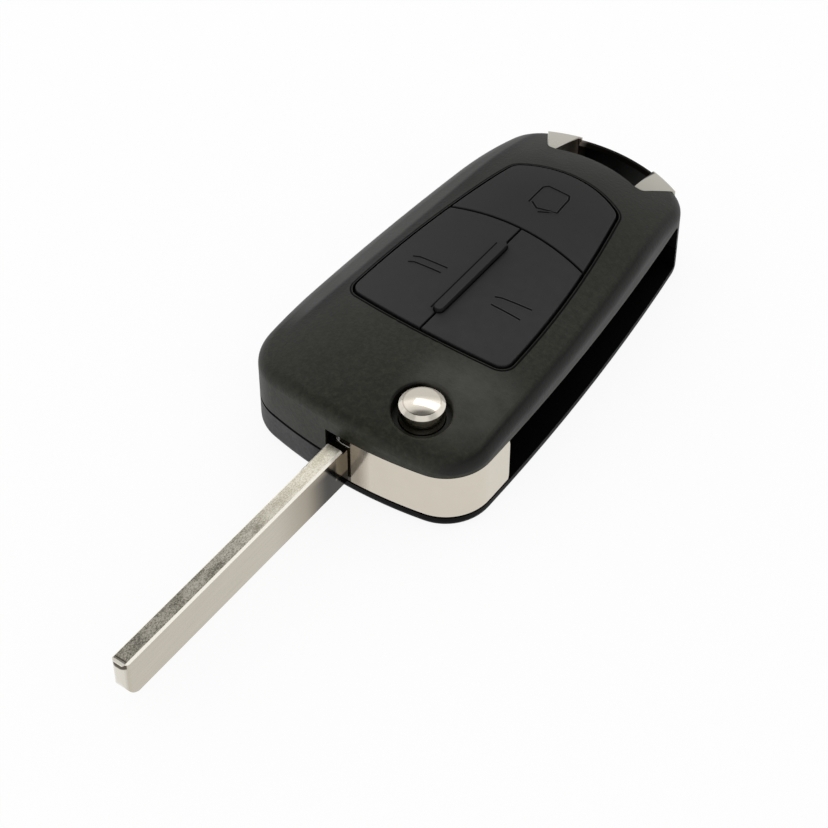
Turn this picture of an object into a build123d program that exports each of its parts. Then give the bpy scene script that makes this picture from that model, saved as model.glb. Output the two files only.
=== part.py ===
from build123d import *
from math import cos, hypot, radians, sin, sqrt
import os

os.makedirs("parts", exist_ok=True)

# Millimetres. The origin is the foot of the blade's pivot axis on the surface the key rests on.
# +Z is up through the keys, -Y the way the opened blade points, +X the side with the blade slot.

# Overall sizes
casing_width = 37.9
blade_reach = 53.8           # pivot to the blade's tip
fold_angle = 184.0           # blade turns this far into the casing

# Plan of the casing
pivot_from_side = 10.65      # pivot to the widest point of the slot side
front_reach = 7.5            # pivot to the front edge on the centreline
rear_block = 6.9             # end of the blade slot to the rear edge
widest_at = -2.0
side_bow = 5.34              # how far a side has come in at the rear edge
front_bow = 2.8              # how far an end would have gone back at the full width
rear_bow = 8.5
front_corner_radius = 7.4
rear_corner_radius = 7.0

# Crowned top
crown_bow = 2.88             # middle to side, across the casing
front_fall_start = 10.0
front_fall_radius = 70.0
rear_fall_from_rear = 19.9
rear_fall_radius = 50.0
top_edge_radius = 2.1
foot_edge_radius = 1.3
rim_drop = 2.5               # the rim's edges fall less than this from end to end

# Shell walls and levels
shell_wall = 3.0
bay_floor = 1.5
slot_floor = 1.95
parting_height = 5.4
parting_gap = 0.2
parting_bevel = 0.15         # on both shells, along the gap
lip_height = 0.8
lip_thickness = 1.0
web = 1.1                    # ceiling over the slot, under the keys
key_room = 1.9               # for the keys' flanges and their travel
crown_skin = 2.9             # shell over the flanges, on the centreline
partition_wall = 1.2
fit_gap = 0.1                # parts that stay together

# Blade and swivel head
blade_thickness = 2.6
blade_height = 7.3
blade_offset = 8.2           # pivot axis to the blade's middle plane
blade_edge = 0.3
blade_heel = 3.4             # rounding of the tip below and above
blade_nose = 0.7
tip_corner = 1.04
tang_height = 5.2
tang_thickness = 2.0
tang_length = 7.6
tang_step = 0.6              # the root starts this far inside the blade
root_gap = 0.25              # the blade's shoulder stands off the head
root_step_length = 1.1       # lowered top of the blade in front of the head
root_step_depth = 0.75
pin_radius = 0.8
pin_behind_front = 3.4
head_gap = 0.2               # above and below the head, and under the blade in it
head_over_blade = 0.65       # the head is this much higher than the blade
head_skin = 0.8              # head wall outside the blade's root
head_rear = 6.35
head_rear_bow = 0.55         # the rear end is barrel shaped
head_rear_corner = 5.6
head_edge_radius = 0.5
head_front_corner = 2.4      # beside the blade
swing_gap = 0.35
slot_gap = 0.35
slot_end_radius = 1.0        # under the rim, at the blade's tip
notch_gap = 0.6
tip_room = 1.2               # slot beyond the folded blade's tip

# Release button, its spring and its bearing
cap_radius = 3.2
cap_proud = 1.4
cap_dome = 0.25
cap_chamfer = 0.55
cap_gap = 0.12
cap_bore = 2.3
cap_roof = 1.6
button_travel = 2.0
well_radius = 4.15
well_depth = 1.9
well_rim_radius = 0.5
flange_radius = 5.0
flange_thickness = 1.4
dog_width = 2.8
dog_reach = 6.4
dog_thickness = 1.9
dog_gap = 0.15
dog_recess = 1.1
dog_clearance = 0.3          # dogs stand just below their seats in the shell
boss_radius = 4.5
boss_height = 1.4
boss_pin_radius = 2.4
boss_pin_height = 1.5
bearing_gap = 0.05
spring_wire = 0.8
spring_turns = 2.6

# Key window and keys
window_front = 10.5
window_from_rear = 12.15
window_margin = 5.35         # casing side to window side where both are widest
window_widest_at = 11.0
window_front_bow = 1.65
window_side_bow = 4.92
window_rear_bow = 6.6
window_corner = 2.4
boot_key_length = 14.35
divider_bow = 1.97
key_proud = 0.25
key_gap = 0.45               # round the three keys
key_groove = 0.3             # between two keys
key_edge_radius = 0.15
key_travel = 0.4
key_flange = 1.0
window_rebate = 0.3          # room round the keys' flanges
key_flange_height = 0.85
post_radius = 1.5
post_gap = 0.6
bar_width = 1.3
bar_front = 14.7
bar_length = 16.5
bar_proud = 0.95
gasket_thickness = 0.5

# Ring end
ring_front_half = 8.4
ring_flare_half = 11.6
flare_length = 5.0
ring_front_from_rear = 7.4
ring_corner = 1.0
ring_foot = 0.4
opening_front_half = 7.0
opening_rear_half = 6.36
opening_bow = 1.2
bar_thickness = 0.9
bar_top_drop = 0.5
bar_bottom = 2.4
bar_edge = 0.45              # bevel along the inner edge of the bar's top
lug_length = 2.1
lug_root = 2.4
lug_width = 2.6
lug_height = 4.4
peg_radius = 0.7

# Electronics
bay_front = 9.5
bay_wall_rear = 3.5
bay_corner = 1.2
tray_gap = 0.25
tray_wall = 1.0
tray_floor = 0.8
tray_ledge = 0.8
board_thickness = 1.0
board_height = 7.2
cell_diameter = 20.0
cell_thickness = 3.2
cell_step = 0.6              # crimped rim of the cell's can
cell_gap = 0.4
clip_sheet = 0.3
clip_width = 5.0
leaf_foot = 1.0
leaf_turn = 0.1
switch_size = 6.0
switch_height = 2.2
switch_corner = 0.6
switch_base = 0.6
switch_spread = 6.6
front_switch_ahead = 13.9    # of the line between the keys
boot_switch_behind = 6.6
chip_behind = 8.0            # of the front switches
crystal_behind = 9.0
coil_behind = 10.0
plunger_radius = 1.6
plunger_proud = 0.75
transponder_length = 11.0
transponder_width = 5.5
transponder_height = 2.8
transponder_corner = 1.0
transponder_left = 2.5
transponder_ahead = 7.0
contact_gap = 0.05           # parts that touch


def fall(radius, reach):
    """How far an arc has dropped after a given reach."""
    return radius - sqrt(radius ** 2 - reach ** 2)


def bow_radius(bow, reach):
    """Radius of the arc that drops by its bow over a given reach."""
    return (reach ** 2 + bow ** 2) / (2 * bow)


def crown_at(x, y):
    """Height of the crowned top over a point."""
    across = fall(crown_radius, x - centre_x)
    front = fall(front_fall_radius, max(front_fall_start - y, 0))
    rear = fall(rear_fall_radius, max(y - rear_fall_start, 0))
    return crown_height - across - front - rear


def half_width(y):
    """Half the casing's width at a place along its length."""
    return half_casing - fall(side_radius, y - widest_at)


def slot_line(y, shift=0.0):
    """Inner side of the folded blade's slot, as a distance from the pivot in X."""
    lean = sin(radians(fold_angle - 180))
    inner = blade_offset - blade_thickness / 2
    return inner * cos(radians(fold_angle - 180)) - y * lean - slot_gap - shift


# Values that follow from the sizes above
half_casing = casing_width / 2
centre_x = pivot_from_side - half_casing
front_y = -front_reach
slot_end = blade_reach + tip_room
rear_y = slot_end + rear_block
rear_fall_start = rear_y - rear_fall_from_rear
side_radius = bow_radius(side_bow, rear_y - widest_at)
front_radius = bow_radius(front_bow, half_casing)
rear_radius = bow_radius(rear_bow, half_casing)
crown_radius = bow_radius(crown_bow, half_casing)
head_low = slot_floor + head_gap
head_height = blade_height + head_over_blade
head_top = head_low + head_height
slot_ceiling = head_top + head_gap
blade_low = head_low + head_gap
key_floor = slot_ceiling + web
key_ceiling = key_floor + key_room
crown_height = key_ceiling + crown_skin
window_half = half_casing - window_margin
window_rear = rear_y - window_from_rear
window_front_radius = bow_radius(window_front_bow, window_half)
window_side_radius = bow_radius(window_side_bow, window_rear - window_widest_at)
window_rear_radius = bow_radius(window_rear_bow, window_half)
divider_radius = bow_radius(divider_bow, window_half)
divider_y = window_rear - boot_key_length
front_switch_y = divider_y - front_switch_ahead
switch_at = (
    (-switch_spread, front_switch_y),
    (switch_spread, front_switch_y),
    (0.0, divider_y + boot_switch_behind),
)
ring_front = rear_y - ring_front_from_rear
bay_rear = ring_front - bay_wall_rear
head_left = blade_offset + blade_thickness / 2 + head_skin
swing_radius = max(hypot(pivot_from_side, head_rear), hypot(head_left, front_reach)) + swing_gap
far = 5 * casing_width       # reach of cuts that run out of the casing
high = 2 * crown_height
lug_low = parting_height - lug_height / 2
lug_high = parting_height + lug_height / 2
boss_top = slot_floor + boss_height
cap_rim = crown_at(0, 0) + cap_proud
well_floor = crown_at(0, 0) - well_depth
dog_top = slot_ceiling - dog_clearance
flange_low = dog_top - dog_thickness
switch_low = board_height + board_thickness
switch_top = switch_low + switch_height + plunger_proud
cell_radius = cell_diameter / 2
cell_base = bay_floor + contact_gap + tray_floor + clip_sheet
cell_y = bay_rear - tray_gap - tray_wall - tray_ledge - cell_gap - cell_radius
cell_x = (centre_x - half_width(cell_y) + shell_wall + slot_line(cell_y, partition_wall)) / 2
key_low = key_ceiling - contact_gap - key_flange_height


def prism(plan, low, high):
    """Plan drawn on the resting plane, pulled up from one level to another."""
    return extrude(Pos(0, 0, low) * plan, high - low)


def block(x0, x1, y0, y1):
    """Rectangle between two corners."""
    return Pos((x0 + x1) / 2, (y0 + y1) / 2) * Rectangle(x1 - x0, y1 - y0)


def below(level):
    """Everything under a level."""
    return prism(Rectangle(far, far), -high, level)


def above(level):
    """Everything over a level."""
    return prism(Rectangle(far, far), level, 2 * high)


def bowed_plan(front, rear, widest, widest_y, radii, corners, grow=0.0):
    """Outline of four bowed sides, symmetric about X = 0, with rounded corners.

    radii are those of the front, the sides and the rear, corners those of the front and rear corners.
    """
    front_r, side_r, rear_r = (radius + grow for radius in radii)
    front, rear, widest = front - grow, rear + grow, widest + grow

    def side_x(y):
        return widest - fall(side_r, y - widest_y)

    low_y, high_y = front, rear
    for _ in range(8):
        low_y = front + fall(front_r, side_x(low_y))
        high_y = rear - fall(rear_r, side_x(high_y))
    low_x, high_x = side_x(low_y), side_x(high_y)
    middle = (side_x((low_y + high_y) / 2), (low_y + high_y) / 2)
    plan = make_face([
        ThreePointArc((-low_x, low_y), (0, front), (low_x, low_y)),
        ThreePointArc((low_x, low_y), middle, (high_x, high_y)),
        ThreePointArc((high_x, high_y), (0, rear), (-high_x, high_y)),
        ThreePointArc((-high_x, high_y), (-middle[0], middle[1]), (-low_x, low_y)),
    ])
    plan = fillet(plan.vertices().group_by(Axis.Y)[0], corners[0] + grow)
    return fillet(plan.vertices().group_by(Axis.Y)[-1], corners[1] + grow)


def casing_plan(inset=0.0):
    """Outline of the casing seen from above."""
    plan = bowed_plan(front_y, rear_y, half_casing, widest_at, (front_radius, side_radius, rear_radius),
                      (front_corner_radius, rear_corner_radius), -inset)
    return Pos(centre_x, 0) * plan


def above_crown(lift=0.0):
    """Space above the casing's crowned top: an arc across, swept along a falling spine."""
    top = crown_height + lift
    overrun = front_reach
    half_span = casing_width * 0.7
    depth = high
    front_run = front_fall_start - front_y + overrun
    rear_run = rear_y - rear_fall_start + overrun
    front_points = [
        (centre_x, front_fall_start - run, top - fall(front_fall_radius, run))
        for run in (front_run, front_run / 2, 0)
    ]
    rear_points = [
        (centre_x, rear_fall_start + run, top - fall(rear_fall_radius, run))
        for run in (0, rear_run / 2, rear_run)
    ]
    spine = Curve() + [
        ThreePointArc(*front_points),
        Line(front_points[-1], rear_points[0]),
        ThreePointArc(*rear_points),
    ]
    edge_fall = fall(crown_radius, half_span)
    section = make_face([
        ThreePointArc((-half_span, -edge_fall), (0, 0), (half_span, -edge_fall)),
        Line((half_span, -edge_fall), (half_span, depth)),
        Line((half_span, depth), (-half_span, depth)),
        Line((-half_span, depth), (-half_span, -edge_fall)),
    ])
    start = Plane(origin=front_points[0], x_dir=(-1, 0, 0), z_dir=spine % 0)
    return sweep(start * section, path=spine)


def casing_block():
    """Outside of the closed casing, rounded along its top and foot edges."""
    solid = prism(casing_plan(), 0, high) - above_crown()
    rim = []
    for wall in solid.faces().filter_by(lambda face: abs(face.normal_at().Z) < 0.01):
        for edge in wall.edges():
            level = abs((edge @ 0).Z - (edge @ 1).Z) < rim_drop
            if level and edge.center().Z > parting_height:
                rim.append(edge)
    solid = fillet(rim, top_edge_radius)
    foot = solid.faces().sort_by(Axis.Z)[0].edges()
    return fillet(foot, foot_edge_radius)


def slot_plan(shift=0.0, end=0.0):
    """Space that the blade sweeps on its way into the casing, open to the side."""
    side = casing_width
    return make_face(Polyline(
        (slot_line(0, shift), 0), (side, 0), (side, slot_end + end),
        (slot_line(slot_end, shift), slot_end + end), (slot_line(0, shift), 0)
    ))


def head_space():
    """Room for the swivel head and the blade inside both shells."""
    swing = Circle(swing_radius)
    mouth = block(-head_left - notch_gap, casing_width, 2 * front_y, 0)
    slot = prism(slot_plan(), slot_floor, slot_ceiling)
    end = slot.faces().sort_by(Axis.Y)[-1]
    slot = fillet(end.edges().sort_by(Axis.Z)[-1], slot_end_radius)
    return prism(swing + mouth, slot_floor, slot_ceiling) + slot


def well_plan(inset=0.0):
    """Inside of the casing's outer wall, from the front to the bay's rear wall."""
    return casing_plan(shell_wall + inset) & block(-far, far, front_y, bay_rear - inset)


def bay_plan(inset=0.0):
    """Space for the electronics, beside the slot and behind the head."""
    plan = well_plan(inset) & block(-far, far, bay_front + inset, rear_y)
    plan = plan - Circle(swing_radius + partition_wall + inset)
    plan = plan - slot_plan(partition_wall + inset, partition_wall)
    return fillet(plan.vertices(), bay_corner)


def partition_plan(grow=0.0):
    """Wall of the lower shell between the electronics and the space for the head and blade."""
    wall = partition_wall + grow
    plan = (Circle(swing_radius + wall) + slot_plan(wall, wall)) & well_plan()
    return plan & block(-far, far, bay_front - grow, bay_rear)


def window_plan(grow=0.0):
    """Opening for the three keys in the upper shell."""
    plan = bowed_plan(window_front, window_rear, window_half, window_widest_at,
                      (window_front_radius, window_side_radius, window_rear_radius),
                      (window_corner, window_corner), grow)
    return Pos(centre_x, 0) * plan


def behind_divider(shift=0.0):
    """Everything behind the curved line between the boot key and the front keys."""
    side = half_casing
    y_side = divider_y - fall(divider_radius, side) + shift
    plan = make_face([
        ThreePointArc((-side, y_side), (0, divider_y + shift), (side, y_side)),
        Polyline((side, y_side), (side, rear_y), (-side, rear_y), (-side, y_side)),
    ])
    return Pos(centre_x, 0) * plan


def bar_plan(grow=0.0):
    """Raised bar between the two front keys."""
    middle = bar_front + bar_length / 2
    slot = Rot(0, 0, 90) * SlotOverall(bar_length + 2 * grow, bar_width + 2 * grow)
    return Pos(centre_x, middle) * slot


def key_region(name, groove, outer=0.0):
    """Plan of one key, with its share of the grooves taken off."""
    window = window_plan(outer)
    half = groove / 2
    if name == "boot_key":
        return window & behind_divider(half)
    side = -1 if name == "left_key" else 1
    edges = sorted((centre_x + side * half, centre_x + side * casing_width))
    front = window - behind_divider(-half)
    return (front & block(edges[0], edges[1], front_y, rear_y)) - bar_plan(half)


def ring_plan(inset=0.0):
    """Gap in both shells that the ring end fills, with the ring opening."""
    front_half = ring_front_half - inset
    flare_half = ring_flare_half - inset
    front = ring_front + inset
    flare_y = ring_front + flare_length
    beyond = rear_y + flare_length
    sides = Polyline(
        (-opening_front_half, front), (-front_half, front), (-flare_half, flare_y), (-flare_half, beyond),
        (flare_half, beyond), (flare_half, flare_y), (front_half, front), (opening_front_half, front)
    )
    bow = ThreePointArc((opening_front_half, front), (0, front + opening_bow), (-opening_front_half, front))
    plan = make_face([sides, bow])
    corners = plan.vertices().filter_by(lambda v: abs(abs(v.X) - front_half) < 0.01 and v.Y < flare_y)
    return Pos(centre_x, 0) * fillet(corners, ring_corner)


def opening_plan():
    """Opening for the key ring, between the metal cheeks and in front of the bar."""
    front = ring_front - flare_length
    plan = make_face(Polyline(
        (-opening_front_half, front), (-opening_front_half, ring_front), (-opening_rear_half, rear_y),
        (opening_rear_half, rear_y), (opening_front_half, ring_front), (opening_front_half, front),
        (-opening_front_half, front)
    ))
    return (Pos(centre_x, 0) * plan) & casing_plan(bar_thickness)


def lug_plans(grow=0.0):
    """Tongues of the ring end that the shells clamp, one each side."""
    plans = Sketch()
    front = ring_front - lug_length - grow
    rear = ring_front + lug_root + grow
    for side in (-1, 1):
        inner = centre_x + side * (opening_front_half + fit_gap)
        edges = sorted((inner, inner + side * lug_width))
        plans += block(edges[0] - grow, edges[1] + grow, front, rear)
    return plans


def lug_pegs(grow=0.0):
    """Pegs of the lower shell that hold the tongues."""
    place = opening_front_half + fit_gap + lug_width / 2
    peg = Pos(centre_x, ring_front - lug_length / 2) * Circle(peg_radius + grow)
    return Sketch() + [Pos(side * place) * peg for side in (-1, 1)]


def lip_plan(grow=0.0):
    """Tongue of the lower shell that locates the upper one, round the closed walls."""
    ring = casing_plan(shell_wall - lip_thickness - grow) - casing_plan(shell_wall + grow)
    open_side = block(-head_left - notch_gap - lip_thickness, far, -far, slot_end + lip_thickness)
    rear = block(-far, far, bay_rear - lip_thickness, far)
    return ring - open_side - rear


def dog_plan(gap=0.0):
    """Four dogs in a diagonal cross, or the slots for them."""
    reach = 2 * (dog_reach + gap)
    width = dog_width + 2 * gap
    return Rot(0, 0, 45) * (Rectangle(reach, width) + Rectangle(width, reach))


def well_rim(shell):
    """Edge of the button's well on the crowned top."""
    return shell.edges().filter_by(
        lambda edge: abs(hypot((edge @ 0.25).X, (edge @ 0.25).Y) - well_radius) < 0.01
        and abs(hypot((edge @ 0.75).X, (edge @ 0.75).Y) - well_radius) < 0.01
        and (edge @ 0.5).Z > well_floor + cap_proud
    )


def upper_shell():
    """Crowned cover with the key window, the button's well and the open blade side."""
    shell = casing_block() - below(parting_height + parting_gap / 2)
    shell = chamfer(shell.faces().sort_by(Axis.Z)[0].edges(), parting_bevel)
    shell -= head_space()
    shell -= prism(partition_plan(fit_gap), 0, slot_ceiling)
    shell -= prism(bay_plan(), 0, key_floor)
    shell -= prism(window_plan(key_flange + window_rebate), key_floor, key_ceiling)
    shell -= prism(window_plan(), key_floor, high)
    shell -= prism(Circle(well_radius), well_floor, high)
    shell = fillet(well_rim(shell), well_rim_radius)
    shell -= prism(Circle(cap_radius + cap_gap), slot_floor, high)
    recess = Circle(flange_radius + dog_gap) + dog_plan(dog_gap)
    shell -= prism(recess, slot_floor, slot_ceiling + dog_recess)
    shell -= prism(ring_plan(), 0, high)
    shell -= prism(lug_plans(fit_gap), lug_low - fit_gap, lug_high + fit_gap)
    shell -= prism(lip_plan(fit_gap), 0, parting_height + lip_height + fit_gap)
    return shell


def lower_shell():
    """Tray-like underside with the head's bearing boss, the slot floor and the bay's partition."""
    shell = casing_block() - above(parting_height - parting_gap / 2)
    shell = chamfer(shell.faces().sort_by(Axis.Z)[-1].edges(), parting_bevel)
    shell += prism(partition_plan(), bay_floor, slot_ceiling - fit_gap)
    shell += prism(lip_plan(), bay_floor, parting_height + lip_height)
    shell -= head_space()
    shell -= prism(bay_plan(), bay_floor, high)
    shell -= prism(ring_plan(), 0, high)
    shell -= prism(lug_plans(fit_gap), lug_low - fit_gap, lug_high + fit_gap)
    shell += prism(lug_pegs(), foot_edge_radius, lug_high)
    shell += prism(Circle(boss_radius), foot_edge_radius, boss_top)
    return shell + prism(Circle(boss_pin_radius), foot_edge_radius, boss_top + boss_pin_height)


def ring_end():
    """Metal loop for the key ring, clamped between the shells by two tongues."""
    cheeks = prism((ring_plan(contact_gap) & casing_plan(contact_gap)) - opening_plan(), ring_foot, high)
    cheeks -= above_crown()
    span = block(centre_x - opening_rear_half, centre_x + opening_rear_half, rear_y - flare_length, far)
    bar_top = crown_at(centre_x, rear_y) - bar_top_drop
    cheeks -= prism(span, bar_top, high)
    rim = cheeks.edges().filter_by(lambda edge: abs((edge @ 0.5).Z - bar_top) < 0.01)
    inner = rim.sort_by(SortBy.LENGTH)[-2:].sort_by(Axis.Y)[0]
    cheeks = chamfer(inner, bar_edge)
    cheeks -= prism(span, 0, bar_bottom)
    cheeks += prism(lug_plans() & casing_plan(bar_thickness) - opening_plan(), lug_low, lug_high)
    return cheeks - prism(lug_pegs(contact_gap), 0, crown_height)


def head_plan():
    """Outline of the swivel head: it completes the casing's front corner."""
    plan = casing_plan(fit_gap) & block(-head_left, far, -far, head_rear)
    rear_left = plan.vertices().sort_by(lambda v: (v.X + head_left) ** 2 + (v.Y - head_rear) ** 2)[0]
    return fillet(rear_left, head_rear_corner)


def tang_space(grow):
    """Socket for the blade's root, open at the front of the head."""
    half = tang_thickness / 2 + grow
    plan = block(-blade_offset - half, -blade_offset + half, 2 * front_y, front_y + tang_length + grow)
    middle = blade_low + blade_height / 2
    return prism(plan, middle - tang_height / 2 - grow, middle + tang_height / 2 + grow)


def pin_plan(grow=0.0):
    return Pos(-blade_offset, front_y + pin_behind_front) * Circle(pin_radius + grow)


def head_barrel():
    """Everything in front of the head's bulging rear end."""
    edge = head_rear - head_rear_bow
    middle = (head_low + head_top) / 2
    side = make_face([
        ThreePointArc((edge, head_low), (head_rear, middle), (edge, head_top)),
        Polyline((edge, head_top), (-far, head_top), (-far, head_low), (edge, head_low)),
    ])
    return extrude(Plane(origin=(-far, 0, 0), x_dir=(0, 1, 0), z_dir=(1, 0, 0)) * side, 2 * far)


def head_corners(head):
    """Upright edges of the head, the one beside the blade first."""
    def from_blade(edge):
        return hypot(edge.center().X + head_left, edge.center().Y - front_y)

    return head.edges().filter_by(Axis.Z).sort_by(from_blade)


def swivel_head():
    """Die-cast head: blade socket, spring pocket, dog slots and the bearing bore."""
    head = prism(head_plan(), head_low, head_top)
    head = fillet(head_corners(head)[1:], head_edge_radius)
    head = fillet(head_corners(head)[0], head_front_corner)
    head &= head_barrel()
    head -= prism(Circle(boss_radius + bearing_gap), 0, high)
    head -= prism(Circle(flange_radius + dog_gap), boss_top + head_skin, high)
    head -= prism(dog_plan(dog_gap), flange_low - button_travel - dog_gap, high)
    head -= tang_space(contact_gap)
    return head - prism(pin_plan(bearing_gap), head_low + head_skin, high)


def key_blade():
    """Square-edged steel blade with a narrower root for the head's socket."""
    half = blade_thickness / 2
    root = front_y - root_gap
    section = Pos(0, blade_height / 2) * Rectangle(blade_thickness, blade_height)
    section = chamfer(section.vertices(), blade_edge)
    ahead = Plane(origin=(-blade_offset, root, blade_low), x_dir=(1, 0, 0), z_dir=(0, -1, 0))
    bar = extrude(ahead * section, root + blade_reach)
    plan = block(-blade_offset - half, -blade_offset + half, -blade_reach, root)
    plan = fillet(plan.vertices().group_by(Axis.Y)[0], tip_corner)
    bar &= prism(plan, 0, crown_height)
    profile = make_face(Polyline((-blade_reach, 0), (-blade_reach, blade_height), (root, blade_height),
                                 (root, 0), (-blade_reach, 0)))
    profile = fillet(profile.vertices().group_by(Axis.X)[0].sort_by(Axis.Y)[0], blade_heel)
    profile = fillet(profile.vertices().group_by(Axis.X)[0].sort_by(Axis.Y)[-1], blade_nose)
    across = Plane(origin=(-blade_offset - half, 0, blade_low), x_dir=(0, 1, 0), z_dir=(1, 0, 0))
    bar &= extrude(across * profile, blade_thickness)
    step = block(-far, 0, root - root_step_length, 0)
    bar -= prism(step, blade_low + blade_height - root_step_depth, high)
    bar += tang_space(0) & prism(block(-far, 0, front_y - tang_step, 0), 0, high)
    return bar - prism(pin_plan(contact_gap / 2), 0, high)


def blade_pin():
    """Pin through the head and the blade's root."""
    return prism(pin_plan(), head_low + head_skin, head_top - head_gap)


def release_button():
    """Polished cap on a hollow stem, with a flange and four dogs for the head."""
    top_radius = cap_radius - cap_chamfer
    sphere = (top_radius ** 2 + cap_dome ** 2) / (2 * cap_dome)
    crest = cap_rim + cap_dome
    half_way = (top_radius / 2, crest - fall(sphere, top_radius / 2))
    roof = cap_rim - cap_roof
    shoulder = flange_low + flange_thickness
    profile = make_face([
        Polyline((cap_bore, flange_low), (flange_radius, flange_low), (flange_radius, shoulder),
                 (cap_radius, shoulder), (cap_radius, cap_rim - cap_chamfer), (top_radius, cap_rim)),
        ThreePointArc((top_radius, cap_rim), half_way, (0, crest)),
        Polyline((0, crest), (0, roof), (cap_bore, roof), (cap_bore, flange_low)),
    ])
    button = revolve(Plane.XZ * profile, Axis.Z)
    dogs = dog_plan() - Circle((flange_radius + cap_radius) / 2)
    return button + prism(dogs, flange_low, dog_top)


def flip_spring():
    """Coil that lifts the button and swings the blade out."""
    radius = (boss_pin_radius + boss_radius) / 2 + fit_gap
    low = boss_top + spring_wire / 2
    height = flange_low - boss_top - spring_wire
    coil = Helix(pitch=height / spring_turns, height=height, radius=radius)
    section = Plane(origin=coil @ 0, z_dir=coil % 0) * RegularPolygon(spring_wire / 2, 8)
    return Pos(0, 0, low) * sweep(section, path=coil)


def key_button(name, x, y):
    """One key: crowned cap, hidden flange and the post over its switch."""
    cap = prism(key_region(name, key_groove, -key_gap), key_low, high) - above_crown(key_proud)
    cap = fillet(cap.faces().sort_by(Axis.Z)[-1].edges(), key_edge_radius)
    flange = prism(key_region(name, 3 * key_groove, key_flange), key_low, key_low + key_flange_height)
    post = prism(Pos(centre_x + x, y) * Circle(post_radius), switch_top + contact_gap, key_low)
    return cap + flange + post


def key_gasket():
    """Sealing sheet under the keys, with the raised bar between the front keys."""
    sheet = window_plan(key_flange)
    for x, y in switch_at:
        sheet -= Pos(centre_x + x, y) * Circle(post_radius + post_gap)
    gasket = prism(sheet, key_floor, key_floor + gasket_thickness)
    bar = prism(bar_plan(), key_floor, high) - above_crown(bar_proud)
    return gasket + bar


def electronics_tray():
    """Open tray with a ledge for the circuit board and a pocket for the coin cell."""
    low = bay_floor + contact_gap
    tray = prism(bay_plan(tray_gap), low, key_floor)
    tray -= prism(bay_plan(tray_gap + tray_wall + tray_ledge), low + tray_floor, key_floor)
    tray -= prism(bay_plan(tray_gap + tray_wall), board_height, key_floor)
    pocket = Pos(cell_x, cell_y) * Circle(cell_radius + cell_gap / 2)
    return tray - prism(pocket, low + tray_floor, board_height)


def circuit_board():
    """Board on the tray's ledge."""
    return prism(bay_plan(tray_gap + tray_wall + fit_gap), board_height, board_height + board_thickness)


def coin_cell():
    """Lithium cell with its crimped rim."""
    shoulder = cell_thickness - cell_step
    profile = make_face(Polyline(
        (0, 0), (cell_radius, 0), (cell_radius, shoulder), (cell_radius - cell_step, shoulder),
        (cell_radius - 2 * cell_step, cell_thickness), (0, cell_thickness), (0, 0)
    ))
    return Pos(cell_x, cell_y, cell_base) * revolve(Plane.XZ * profile, Axis.Z)


def battery_clip_plus():
    """Strip under the cell with a tab up to the board."""
    left, right = cell_x - clip_width / 2, cell_x + clip_width / 2
    front = cell_y - cell_radius - cell_gap
    low = cell_base - clip_sheet
    strip = prism(block(left, right, front - clip_sheet, cell_y + clip_width), low, cell_base)
    tab = prism(block(left, right, front - clip_sheet, front), low, board_height)
    return strip + tab


def battery_clip_minus():
    """Leaf under the board that presses on the cell."""
    top = board_height
    rest = cell_base + cell_thickness
    reach = clip_width - leaf_foot
    side = make_face(Polyline(
        (-clip_width, top), (0, top), (reach, rest + clip_sheet), (clip_width, rest + clip_sheet),
        (clip_width, rest), (reach - leaf_turn, rest), (-leaf_turn, top - clip_sheet),
        (-clip_width, top - clip_sheet), (-clip_width, top)
    ))
    place = Plane(origin=(cell_x - clip_width / 2, cell_y, 0), x_dir=(0, 1, 0), z_dir=(1, 0, 0))
    return extrude(place * side, clip_width)


def tact_switch(x, y):
    """Surface-mounted switch with a bore for its plunger."""
    place = Pos(centre_x + x, y)
    outline = place * RectangleRounded(switch_size, switch_size, switch_corner)
    body = prism(outline, switch_low, switch_low + switch_height)
    return body - prism(place * Circle(plunger_radius + bearing_gap), switch_low + switch_base, switch_top)


def switch_plunger(x, y):
    """Plunger of a switch, moved by its key."""
    low = switch_low + switch_base + key_travel + fit_gap
    return prism(Pos(centre_x + x, y) * Circle(plunger_radius), low, switch_top)


def component(x, behind, length, width, height):
    """Rectangular component soldered to the board behind the front switches."""
    plan = Pos(centre_x + x, front_switch_y + behind) * Rectangle(length, width)
    return prism(plan, switch_low, switch_low + height)


def transponder():
    """Immobiliser transponder lying in the tray in front of the cell."""
    low = bay_floor + contact_gap + tray_floor
    place = Pos(centre_x - transponder_left, cell_y - cell_radius - transponder_ahead)
    wedge = prism(place * Rectangle(transponder_length, transponder_width), low, low + transponder_height)
    return chamfer(wedge.edges().filter_by(Axis.Z), transponder_corner)


parts = {
    "upper_shell": upper_shell(),
    "lower_shell": lower_shell(),
    "ring_end": ring_end(),
    "swivel_head": swivel_head(),
    "key_blade": key_blade(),
    "blade_pin": blade_pin(),
    "release_button": release_button(),
    "flip_spring": flip_spring(),
    "key_gasket": key_gasket(),
    "electronics_tray": electronics_tray(),
    "circuit_board": circuit_board(),
    "coin_cell": coin_cell(),
    "battery_clip_plus": battery_clip_plus(),
    "battery_clip_minus": battery_clip_minus(),
    "transponder": transponder(),
    "microcontroller": component(0.0, chip_behind, 6.0, 6.0, 1.0),
    "crystal": component(6.5, crystal_behind, 3.2, 2.5, 0.9),
    "antenna_coil": component(-8.2, coil_behind, 7.0, 7.0, 2.4),
}
for label, (x, y) in zip(("left", "right", "boot"), switch_at):
    parts[label + "_key"] = key_button(label + "_key", x, y)
    parts[label + "_switch"] = tact_switch(x, y)
    parts[label + "_plunger"] = switch_plunger(x, y)

for node, solid in parts.items():
    export_step(solid, f"parts/{node}.step")
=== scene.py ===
import bmesh
import bpy
from math import radians
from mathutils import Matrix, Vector
from mathutils.bvhtree import BVHTree


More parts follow.
